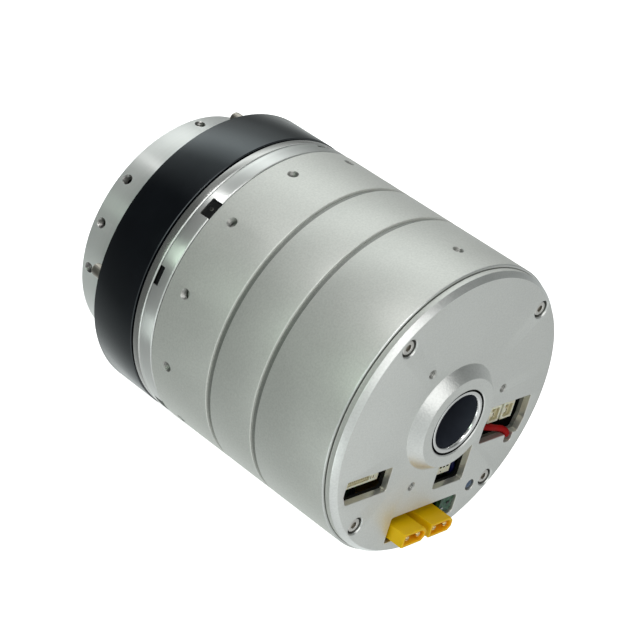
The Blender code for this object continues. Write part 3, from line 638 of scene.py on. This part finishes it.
def build_gear_end():
    bm = bmesh.new()
    # Slot 1 paints the faces in the seams and inside near-black as shade.
    add_turned(bm, [(41.0, 76.2), (47.02, 76.2), (47.1, 76.22), (47.34, 76.46), (47.4, 76.6), (47.4, 81.2), (47.25, 81.4),
                    (41.0, 81.4)], SEG, [1, 2, 2, 2, 0, 0, 1, 1])
    adapter = to_object("adapter_turned_ring", bm, [TURNED, DARK, EDGE])
    bm = bmesh.new()
    for k in range(4):
        add_radial_block(bm, 45 + 90 * k, 74.0, 79.9, 3.0, 39.0, 50.0)
        add_radial_block(bm, 75 + 90 * k, 79.5, 84.0, 3.0, 39.0, 50.0)
    cut(adapter, bm, EDGE)
    settle(adapter, "housing", "turned_aluminium", "adapter_ring")

    bm = bmesh.new()
    add_turned(bm, [(36.0, 76.7), (40.6, 76.7), (40.6, 81.1), (36.0, 81.1)], 128)
    for k in range(4):
        for deg, y0, y1 in ((45 + 90 * k, 76.4, 79.75), (75 + 90 * k, 79.65, 81.3)):
            add_radial_block(bm, deg, y0, y1, 2.85, 40.7, 46.75, 0, 0.25)
            if y1 > 80:
                continue
            # A punched dot in the middle of each wide lug, in a grey metal lighter than the lug that partly paints its
            # small round highlight.
            a = math.radians(deg)
            out = Vector((math.cos(a), 0, math.sin(a)))
            add_lathe(bm, out * 46.6 + Vector((0, (y0 + y1) / 2, 0)), out,
                      [(0.0, 0.62), (0.22, 0.62), (0.3, 0.5), (0.3, 0.31), (0.16, 0.26), (0.14, 0.05)], 20, 1)
    settle(to_object("locking_lugs", bm, [LUG, PUNCH]), "housing", "black_steel", "locking_ring")

    bm = bmesh.new()
    # Slot 1 paints the faces in the seams and inside near-black as shade.
    add_turned(bm, [(36.0, 81.8), (46.82, 81.8), (46.9, 81.82), (47.14, 82.06), (47.2, 82.2), (47.2, 84.4),
                    (47.17, 84.5), (47.05, 84.65), (46.95, 84.7), (36.0, 84.7)], SEG, [1, 2, 2, 2, 0, 0, 0, 0, 1, 1])
    settle(to_object("spline_ring", bm, [STEEL, DARK, EDGE]), "housing", "polished_steel", "circular_spline")

    bm = bmesh.new()
    add_turned(bm, [(43.0, 85.2), (47.1, 85.2), (47.28, 85.26), (47.46, 85.44), (47.5, 85.6), (47.5, 101.95),
                    (47.44, 102.15), (47.25, 102.34), (47.05, 102.4), (41.0, 102.4), (40.7, 102.1), (40.7, 101.3),
                    (43.0, 101.3)], SEG)
    case = to_object("gear_case_band", bm, [BLACK])
    bm = bmesh.new()
    for k in range(4):
        x, z = polar(44.3, 90 * k)
        add_lathe(bm, (x, 94.0, z), (0, 1, 0), [(0.0, 0.9), (8.1, 0.9), (8.9, 1.7)], 24)
    for k in range(8):
        x, z = polar(44.3, 22.5 + 45 * k)
        add_lathe(bm, (x, 102.4, z), (0, -1, 0), thread_profile(1.2, 6.0), 24)
    cut(case, bm, THREAD)
    settle(case, "housing", "black_steel", "gear_case")
    for k in range(4):
        x, z = polar(44.3, 90 * k)
        bm = bmesh.new()
        hexr = hexagon(2.0)
        # Rows 6 and 7, the hex socket, are painted near-black as shade.
        rows = [(0.0, 1.85), (0.25, 2.0), (3.6, 2.0), (4.2, 1.95), (4.6, 1.6), (4.6, 1.25), (4.45, 1.0), (3.1, 1.0),
                (2.8, 0.1)]

        def shape(row, a):
            if row in (6, 7):
                return hexr(a)
            return 1.0 + (0.02 * math.cos(24 * a) if row in (1, 2) else 0.0)
        add_lathe(bm, (x, 102.42, z), (0, 1, 0), rows, 96, [0, 0, 0, 0, 0, 0, 1, 1], shape)
        settle(to_object(f"case_cap_screw_{k + 1}", bm, [CAP, DARK]), "housing", "polished_steel",
               f"case_screw_{k + 1}")
    bm = bmesh.new()
    add_turned(bm, [(37.5, 101.7), (40.2, 101.7), (40.2, 102.2), (39.6, 102.5), (38.6, 102.3), (37.9, 102.6),
                    (37.4, 102.3)], 192)
    settle(to_object("output_lip_seal", bm, [RUBBER]), "housing", "seal_rubber", "output_seal")


# ---------------------------------------------------------------- output

def build_output():
    bm = bmesh.new()
    # Slot 1 paints the inner faces of the flange near-black as shade.
    add_turned(bm, [(10.2, 99.9), (28.0, 99.9), (28.0, 101.9), (37.1, 101.9), (37.1, 103.3), (38.9, 103.3),
                    (39.1, 103.36), (39.2, 103.55), (39.2, 117.85), (39.14, 117.98), (38.7, 118.42), (38.55, 118.5),
                    (25.25, 118.5), (25.0, 118.25), (25.0, 115.9), (10.5, 115.9), (10.2, 115.6)], SEG,
               [1, 1, 1, 1, 0, 2, 2, 0, 2, 2, 2, 0, 2, 0, 0, 2, 1])
    flange = to_object("output_turned_flange", bm, [FLANGE, DARK, EDGE])
    # The radial holes take painted shade: darkened metal walls and near-black deeper halves.
    radial_holes(flange, [7.5 + 45 * k for k in range(8)] + [75 + 90 * k for k in range(4)], 115.0, 39.2, 1.4, 6.0,
                 TAPPED, DARK, 0.8, 0.3)
    bm = bmesh.new()
    for k in range(8):
        x, z = polar(30.0, 22.5 + 45 * k)
        add_lathe(bm, (x, 118.5, z), (0, -1, 0), thread_profile(1.62, 8.0, 0.7, 0.26, 0.35), 32)
    for k in range(4):
        x, z = polar(19.0, 45 + 90 * k)
        add_lathe(bm, (x, 115.9, z), (0, -1, 0), [(-2.0, 5.4), (0.2, 3.2), (3.5, 3.2), (3.6, 1.9), (14.0, 1.9)], 48)
        x, z = polar(32.5, 90 * k)
        add_lathe(bm, (x, 118.5, z), (0, -1, 0), [(-1.0, 2.7), (0.2, 1.5), (5.0, 1.5), (5.8, 0.2)], 36)
    cut(flange, bm, THREAD)
    settle(flange, "output", "turned_aluminium", "output_flange")
    for k in range(4):
        x, z = polar(19.0, 45 + 90 * k)
        bm = bmesh.new()
        # The hex socket is painted near-black as shade.
        add_socket_screw(bm, (x, 112.45, z), (0, 1, 0), 2.8, 3.0, 2.5, 1.9)
        settle(to_object(f"flange_cap_screw_{k + 1}", bm, [SCREW, DARK]), "output", "polished_steel",
               f"flange_screw_{k + 1}")
    bm = bmesh.new()
    add_turned(bm, [(8.8, -2.3), (8.86, -2.7), (9.06, -3.08), (9.34, -3.3), (9.6, -3.38), (9.95, -3.38), (10.2, -3.25),
                    (10.3, -3.0), (10.3, -1.6), (9.9, -1.2), (9.9, 117.6), (9.6, 118.0), (9.1, 118.0), (8.8, 117.7)], SEG,
               [0, 0, 0, 0, 0, 0, 0, 0, 0, 0, 0, 0, 0, 1])
    settle(to_object("hollow_shaft_tube", bm, [POLISHED, BORE]), "output", "polished_steel", "hollow_shaft", angle=40)


# ---------------------------------------------------------------- plugs, sockets and leads

def build_plugs():
    z0, z1 = -39.7, -34.9
    for side, x0, first in (("left", -11.5, 1), ("right", 0.7, 3)):
        x1 = x0 + 10.3
        ch = 1.4
        shell = rounded([(x0, z0), (x1 - ch, z0), (x1, z0 + ch), (x1, z1 - ch), (x1 - ch, z1), (x0, z1)],
                        [0.3, 0.4, 0.4, 0.4, 0.4, 0.3], 4)
        bm = bmesh.new()
        small = widened(shell, -0.16)
        step = widened(shell, 0.0)
        add_loft(bm, [(-5.4, small), (-5.24, shell), (6.0, step), (6.0, widened(shell, 0.35)), (10.9, widened(shell, 0.35))])
        plug = to_object(f"power_shell_{side}", bm, [YELLOW, GLOW])
        w = 0.8
        mid_x, mid_z = (x0 + x1) / 2, (z0 + z1) / 2
        hollow = rounded([(x0 + w, z0 + w), (x1 - w - 1.1, z0 + w), (x1 - w, z0 + w + 1.1), (x1 - w, z1 - w - 1.1),
                          (x1 - w - 1.1, z1 - w), (x0 + w, z1 - w)], 0.3, 4)
        # Each plug's cavity is cut in the lighter yellow of painted light, as if lit through the shell.
        bm = bmesh.new()
        add_loft(bm, [(-7.0, widened(hollow, 0.14)), (-5.42, widened(hollow, 0.14)), (-5.2, hollow), (1.0, hollow)])
        cut(plug, bm, GLOW)
        # A raised bridge between the two contacts, and a stop in the floor of the shell.
        bm = bmesh.new()
        add_box(bm, mid_x - 0.35, mid_x + 0.35, -1.2, 3.0, z0 + 0.6, z1 - 0.6, 0.1)
        cut(plug, bm, YELLOW, "UNION")
        settle(plug, "housing", "yellow_connector", f"power_plug_{side}")
        for k, s in enumerate((-0.5, 0.5)):
            bm = bmesh.new()
            x = mid_x + s * 5.0
            add_lathe(bm, (x, 2.5, mid_z), (0, -1, 0),
                      [(0.0, 1.2), (1.8, 1.2), (1.9, 1.0), (6.7, 1.0), (7.0, 0.94), (7.25, 0.78), (7.4, 0.5), (7.44, 0.2)], 48)
            pin = to_object(f"power_contact_{first + k}", bm, [GOLD])
            # Each contact is slit across, so that it springs in its socket.
            bm = bmesh.new()
            add_box(bm, x - 1.2, x + 1.2, -5.6, -0.9, mid_z - 0.1, mid_z + 0.1, 0.03)
            cut(pin, bm, GOLD)
            settle(pin, "housing", "gold_pin", f"power_pin_{first + k}")


def header(name, node_name, x0, x1, z0, z1, slot, pins, cuts=(), extra=(), y=3.8, depth=2.6):
    """A nylon socket on the board with a recess, its contacts in it, and notches in its edge; the recess is cut in a
    darker cream and the notches in dark brown, both painted shade.
    """
    bm = bmesh.new()
    shell = rounded([(x0, z0), (x1, z0), (x1, z1), (x0, z1)], 0.22, 3)
    add_loft(bm, [(y, widened(shell, -0.14)), (y + 0.14, shell), (10.9, shell)])
    body = to_object(name, bm, [CREAM, CONTACT, DARK, TAN])
    if slot:
        bm = bmesh.new()
        a, b, c, d = slot
        hollow = rounded([(a, c), (b, c), (b, d), (a, d)], 0.15, 3)
        add_loft(bm, [(y - 1, widened(hollow, 0.1)), (y - 0.01, widened(hollow, 0.1)), (y + 0.1, hollow),
                      (y + depth, hollow)])
        # The recess takes the darker cream of painted shade.
        cut(body, bm, TAN)
    if cuts:
        bm = bmesh.new()
        for p, q, r, s, deep in cuts:
            add_box(bm, p, q, y - 1, y + deep, r, s, 0.03)
        # The slots and notches take dark brown painted shade.
        cut(body, bm, BROWN)
    if pins:
        bm = bmesh.new()
        count, along, half_w, half_h, tip = pins
        for k in range(count):
            f = (k + 0.5) / count
            if along == "x":
                px, pz = a + (b - a) * f, (c + d) / 2
            else:
                px, pz = (a + b) / 2, c + (d - c) * f
            add_box(bm, px - half_w, px + half_w, y + tip, y + 4.0, pz - half_h, pz + half_h, 0.05)
        cut(body, bm, CONTACT, "UNION")
    for box in extra:
        bm = bmesh.new()
        add_box(bm, *box, 0.1)
        cut(body, bm, CREAM, "UNION")
    settle(body, "housing", "white_connector", node_name)


def build_headers():
    header("signal_socket_left", "signal_header_left", -34.9, -20.6, -18.2, -14.1, (-33.6, -24.6, -17.3, -15.6),
           (10, "x", 0.16, 0.28, 0.15),
           [(-24.0, -23.7, -17.2, -16.1, 0.4), (-22.9, -22.6, -17.2, -16.1, 0.4)], depth=0.4)
    header("signal_socket_mid", "signal_header_mid", 7.2, 14.7, -25.4, -20.2, None, None,
           [(8.0 + 1.55 * k, 9.1 + 1.55 * k, -23.3, -22.5, 1.2) for k in range(4)] + [(10.3, 10.8, -24.6, -24.3, 0.6)])
    for k, x0 in ((1, 26.9), (2, 33.3)):
        x1 = x0 + 5.4
        header(f"io_socket_{k}", f"io_header_{k}", x0, x1, -12.1, -6.1, (x0 + 0.9, x1 - 0.9, -11.2, -7.0),
               (2, "z", 0.28, 0.4, 0.3), [(x0 + 2.9, x0 + 3.6, -10.6, -9.4, 1.6), (x0 + 2.9, x0 + 3.6, -8.7, -7.5, 1.6)],
               [(x0 + 0.8, x0 + 2.1, 4.0, 7.6, -9.9, -8.3)], depth=0.9)


def smooth_path(points, steps=14):
    pts = [Vector(p) for p in points]
    pts = [pts[0] * 2 - pts[1]] + pts + [pts[-1] * 2 - pts[-2]]
    out = []
    for i in range(1, len(pts) - 2):
        for s in range(steps):
            t = s / steps
            a, b, c, d = pts[i - 1:i + 3]
            out.append(0.5 * ((2 * b) + (c - a) * t + (2 * a - 5 * b + 4 * c - d) * t * t
                              + (3 * b - a - 3 * c + d) * t ** 3))
    out.append(pts[-2])
    return out


def add_tube(bm, path, r, n=24):
    rings = []
    up = Vector((0.31, 0.42, 0.85))
    for i, p in enumerate(path):
        d = (path[min(i + 1, len(path) - 1)] - path[max(i - 1, 0)]).normalized()
        u = (up - d * up.dot(d)).normalized()
        up = u
        v = d.cross(u)
        rings.append([bm.verts.new(p + u * (r * math.cos(2 * math.pi * k / n)) + v * (r * math.sin(2 * math.pi * k / n)))
                      for k in range(n)])
    for a, b in zip(rings[:-1], rings[1:]):
        for k in range(n):
            bm.faces.new((a[k], a[(k + 1) % n], b[(k + 1) % n], b[k]))
    bm.faces.new(rings[0][::-1])
    bm.faces.new(rings[-1])


def build_leads():
    for name, node_name, mat, slot, points in (
            ("red_lead", "lead_red", RED, "red_wire",
             [(24.0, 10.9, -13.6), (23.9, 6.0, -12.9), (24.6, 3.4, -12.0), (26.4, 2.5, -12.1), (29.4, 2.2, -12.9),
              (32.2, 1.7, -13.6), (34.0, 1.1, -14.5), (34.8, 1.2, -15.9), (34.8, 4.4, -16.5), (34.7, 10.9, -17.2)]),
            ("blue_lead", "lead_blue", BLUE, "blue_wire",
             [(16.9, 10.9, -18.6), (17.3, 6.9, -21.2), (17.8, 5.4, -24.2), (18.2, 5.7, -27.2), (18.3, 10.9, -29.6)])):
        bm = bmesh.new()
        add_tube(bm, smooth_path(points), 1.0 if mat is RED else 0.85)
        for end in (points[0], points[-1]):
            add_lathe(bm, (end[0], 11.15, end[2]), (0, -1, 0), [(0.0, 1.5), (0.15, 1.4), (0.5, 1.0), (0.7, 0.9)], 24, 1)
        settle(to_object(name, bm, [mat, SOLDER]), "housing", slot, node_name, angle=50)


def build_board():
    bm = bmesh.new()
    add_turned(bm, [(12.6, 11.2), (42.0, 11.2), (42.0, 12.8), (12.6, 12.8)], 160)
    board = to_object("driver_circuit_board", bm, [BOARD, CHIP, SOLDER])
    bm = bmesh.new()
    for deg in SCREW_ANGLES:
        x, z = polar(41.8, deg)
        add_lathe(bm, (x, 10.0, z), (0, 1, 0), [(0.0, 4.6), (4.0, 4.6)], 40)
    cut(board, bm, BOARD)
    bm = bmesh.new()
    bm.from_mesh(board.data)
    for vert in bm.verts:
        vert.co = Vector((vert.co.x / MM, vert.co.y / MM + Y_MID, vert.co.z / MM - AXIS_Z))
    # Chips, resistors and a row of solder pads on the side that faces the cover.
    for x, z, w, h, t in ((-14.2, -26.4, 17.0, 7.0, 2.6), (18.0, -33.0, 5.0, 2.4, 1.6), (-28.4, -25.0, 4.0, 3.0, 0.9),
                          (26.0, -21.5, 4.4, 3.2, 1.0), (0.5, -29.0, 3.0, 3.0, 0.9), (-30.0, 8.0, 7.0, 7.0, 1.1), (24.0, 14.0, 5.0, 4.0, 1.0),
                          (-14.0, 26.0, 6.0, 4.0, 1.0), (12.0, 28.0, 6.0, 5.0, 1.0), (-33.0, -4.0, 3.0, 2.4, 0.9)):
        add_box(bm, x - w / 2, x + w / 2, 11.2 - t, 11.25, z - h / 2, z + h / 2, 0.12, 1)
        for s in (-1, 1):
            add_box(bm, x + s * (w / 2 + 0.25) - 0.3, x + s * (w / 2 + 0.25) + 0.3, 11.2 - t * 0.6, 11.25,
                    z - h / 2 + 0.2, z + h / 2 - 0.2, 0.1, 2)
    # The carrier of the power plugs, on two posts, with its edge in their window.
    tab = rounded([(11.3, -38.2), (17.0, -38.2), (17.0, -32.3), (11.3, -32.3)], [0.2, 1.3, 1.3, 0.2], 5)
    add_loft(bm, [(0.85, tab), (2.45, tab)], 0)
    for x, z in ((13.1, -34.2), (15.0, -36.4)):
        add_lathe(bm, (x, 2.4, z), (0, 1, 0), [(0.0, 0.7), (8.85, 0.7)], 20, 2)
    add_box(bm, 14.2, 15.6, 0.55, 0.9, -35.2, -34.5, 0.08, 1)
    add_box(bm, 12.3, 13.3, 0.6, 0.9, -36.9, -36.3, 0.08, 2)
    new = to_object("driver_circuit_board_2", bm, [BOARD, CHIP, SOLDER])
    bpy.data.objects.remove(board, do_unlink=True)
    new.name = "driver_circuit_board"
    settle(new, "housing", "circuit_board", "driver_board")
    bm = bmesh.new()
    add_lathe(bm, (22.6, 10.9, -30.4), (0, -1, 0),
              [(0.0, 1.6), (9.8, 1.6), (10.15, 1.52), (10.4, 1.25), (10.55, 0.8), (10.62, 0.3)], 48)
    settle(to_object("status_light_pipe", bm, [LENS]), "housing", "light_pipe", "status_lens", angle=50)


def finish_inside():
    """Every CAD node that still shows gets the material of its slot."""
    slot_of = {s["node"]: s["material_slot"] for s in frame["record"]["subparts"]}
    for name, obj in frame["nodes"].items():
        mat = INSIDE[slot_of[name]]
        obj.data.materials.clear()
        obj.data.materials.append(mat)


# ---------------------------------------------------------------- stage

def build_world():
    """A soft studio: pale panels round the shaft axis, in a grey room."""
    world = bpy.data.worlds.new("studio")
    bpy.context.scene.world = world
    world.use_nodes = True
    tree = world.node_tree
    back = tree.nodes["Background"]
    coords = tree.nodes.new("ShaderNodeTexCoord").outputs["Generated"]
    split = node(tree, "ShaderNodeSeparateXYZ")
    tree.links.new(coords, split.inputs["Vector"])

    # Seen along the shaft, by the angle round the axis from +X towards +Z: a wide panel low on the right, a narrower
    # one overhead, and a dim wall on the left.
    panels = [(-180, 0.06), (-140, 0.12), (-104, 0.36), (-60, 1.0), (-14, 0.62), (12, 0.24), (24, 0.22), (46, 0.66), (68, 1.75),
              (92, 0.42), (126, 0.05), (180, 0.06)]
    turn = node(tree, "ShaderNodeMath", operation="ARCTAN2")
    tree.links.new(split.outputs["Z"], turn.inputs[0])
    tree.links.new(split.outputs["X"], turn.inputs[1])
    bright = 2.0
    around = ramp(tree, span(tree, turn.outputs[0], 0.0, 1.0, -math.pi, math.pi),
                  *[((deg + 180) / 360, (0.95 * v / bright, v / bright, 0.985 * v / bright)) for deg, v in panels])
    up_front = node(tree, "ShaderNodeVectorMath", operation="SCALE")
    tree.links.new(around, up_front.inputs[0])
    up_front.inputs["Scale"].default_value = bright

    def lobe(direction, start, full, colour, before):
        dot = node(tree, "ShaderNodeVectorMath", operation="DOT_PRODUCT")
        tree.links.new(coords, dot.inputs[0])
        dot.inputs[1].default_value = Vector(direction).normalized()
        soft = node(tree, "ShaderNodeMapRange", interpolation_type="SMOOTHSTEP")
        soft.inputs["From Min"].default_value = start
        soft.inputs["From Max"].default_value = full
        tree.links.new(dot.outputs["Value"], soft.inputs["Value"])
        scale = node(tree, "ShaderNodeVectorMath", operation="SCALE")
        scale.inputs[0].default_value = colour
        tree.links.new(soft.outputs["Result"], scale.inputs["Scale"])
        if before is None:
            return scale.outputs["Vector"]
        add = node(tree, "ShaderNodeVectorMath", operation="ADD")
        tree.links.new(before, add.inputs[0])
        tree.links.new(scale.outputs["Vector"], add.inputs[1])
        return add.outputs["Vector"]

    # Behind the cover: a dim wall, pale below, with one bright panel up to the left.
    room = None
    for direction, start, full, colour in (
            ((0, 0, 1), -3.0, -2.0, (0.16, 0.17, 0.164)),
            ((0.60, -0.55, -0.58), 0.20, 0.85, (0.345, 0.355, 0.35)),
            ((-0.55, -0.60, -0.58), 0.30, 0.90, (0.40, 0.41, 0.405)),
            ((-0.29, -0.80, 0.52), 0.84, 0.955, (1.24, 1.24, 1.22))):
        room = lobe(direction, start, full, colour, room)
    side = node(tree, "ShaderNodeMapRange", interpolation_type="SMOOTHSTEP")
    side.inputs["From Min"].default_value = -0.25
    side.inputs["From Max"].default_value = 0.25
    tree.links.new(split.outputs["Y"], side.inputs["Value"])
    mix = node(tree, "ShaderNodeMix", data_type="VECTOR")
    tree.links.new(side.outputs["Result"], mix.inputs[0])
    tree.links.new(room, mix.inputs[4])
    tree.links.new(up_front.outputs["Vector"], mix.inputs[5])
    tree.links.new(mix.outputs[1], back.inputs["Color"])
    back.inputs["Strength"].default_value = 1.0


def add_panel(name, direction, distance, size, power, colour=(1, 1, 1), along=(0, 1, 0)):
    """A rectangular light that faces the middle of the object, with its first side along the given axis."""
    light = bpy.data.lights.new(name, "AREA")
    light.shape = "RECTANGLE"
    light.size, light.size_y = size
    light.energy = power
    light.color = colour
    obj = bpy.data.objects.new(name, light)
    z = Vector(direction).normalized()
    x = Vector(along)
    x = (x - z * x.dot(z)).normalized()
    y = z.cross(x)
    place = Vector((0, 0, AXIS_Z * MM)) + z * distance
    obj.matrix_world = Matrix([[x[i], y[i], z[i], place[i]] for i in range(3)] + [[0, 0, 0, 1]])
    bpy.context.scene.collection.objects.link(obj)
    return obj


def build_stage():
    build_world()
    add_panel("side_panel", (-0.93, -0.15, 0.31), 1.4, (0.9, 0.32), 2.6, (0.80, 1.0, 0.83))
    add_panel("fill_panel", (-0.80, -0.15, -0.56), 1.4, (0.9, 0.4), 2.0, (0.90, 1.0, 0.95))
    add_panel("strip_panel", (-0.43, -0.15, 0.89), 1.2, (0.8, 0.08), 3.2)
    add_panel("top_panel", (-0.10, -0.20, 0.97), 1.6, (0.8, 0.8), 0.35, (1.0, 0.99, 0.97))
    # A round floor that sweeps up into a plain backdrop on every side.
    bm = bmesh.new()
    n = 96
    sweep = [(3.0 + 2.0 * math.sin(math.radians(9 * k)), 2.0 - 2.0 * math.cos(math.radians(9 * k))) for k in range(11)]
    rows = [[bm.verts.new((r * math.cos(2 * math.pi * k / n), r * math.sin(2 * math.pi * k / n), h - 0.0006))
             for k in range(n)] for r, h in [(0.05, 0.0), (0.6, 0.0), (1.6, 0.0)] + sweep + [(5.0, 7.0)]]
    bm.faces.new(rows[0])
    for low, high in zip(rows[:-1], rows[1:]):
        for k in range(n):
            bm.faces.new((low[(k + 1) % n], low[k], high[k], high[(k + 1) % n])).smooth = True
    mesh = bpy.data.meshes.new("floor")
    bm.to_mesh(mesh)
    bm.free()
    floor = bpy.data.objects.new("floor", mesh)
    mat, tree, shader = new_material("pale_floor", (0.9, 0.9, 0.9), 0.0, 0.8)
    shader.inputs["Emission Color"].default_value = (1.0, 1.0, 1.0, 1.0)
    shader.inputs["Emission Strength"].default_value = 0.95
    grain = noise(tree, object_coords(tree), 40.0, 2.0)
    tree.links.new(span(tree, grain, 0.75, 0.85), shader.inputs["Roughness"])
    mesh.materials.append(mat)
    bpy.context.scene.collection.objects.link(floor)
    floor.visible_glossy = False
    floor.visible_shadow = False
    floor.visible_diffuse = False

    cam = bpy.data.cameras.new("camera")
    cam.sensor_fit = "HORIZONTAL"
    cam.sensor_width = 36.0
    cam.lens = 121.786
    cam.clip_start, cam.clip_end = 0.01, 50.0
    camera = bpy.data.objects.new("camera", cam)
    right, up, back = (0.67546, -0.695517, 0.244969), (0.18547, 0.481771, 0.856445), (-0.713691, -0.53306, 0.454415)
    place = (-0.464048, -0.348896, 0.344933)
    camera.matrix_world = Matrix([[right[i], up[i], back[i], place[i]] for i in range(3)] + [[0, 0, 0, 1]])
    bpy.context.scene.collection.objects.link(camera)
    bpy.context.scene.camera = camera
    bpy.context.scene.view_settings.view_transform = "Standard"


build_cover()
build_tube()
build_gear_end()
build_output()
build_plugs()
build_headers()
build_leads()
build_board()
finish_inside()
build_stage()
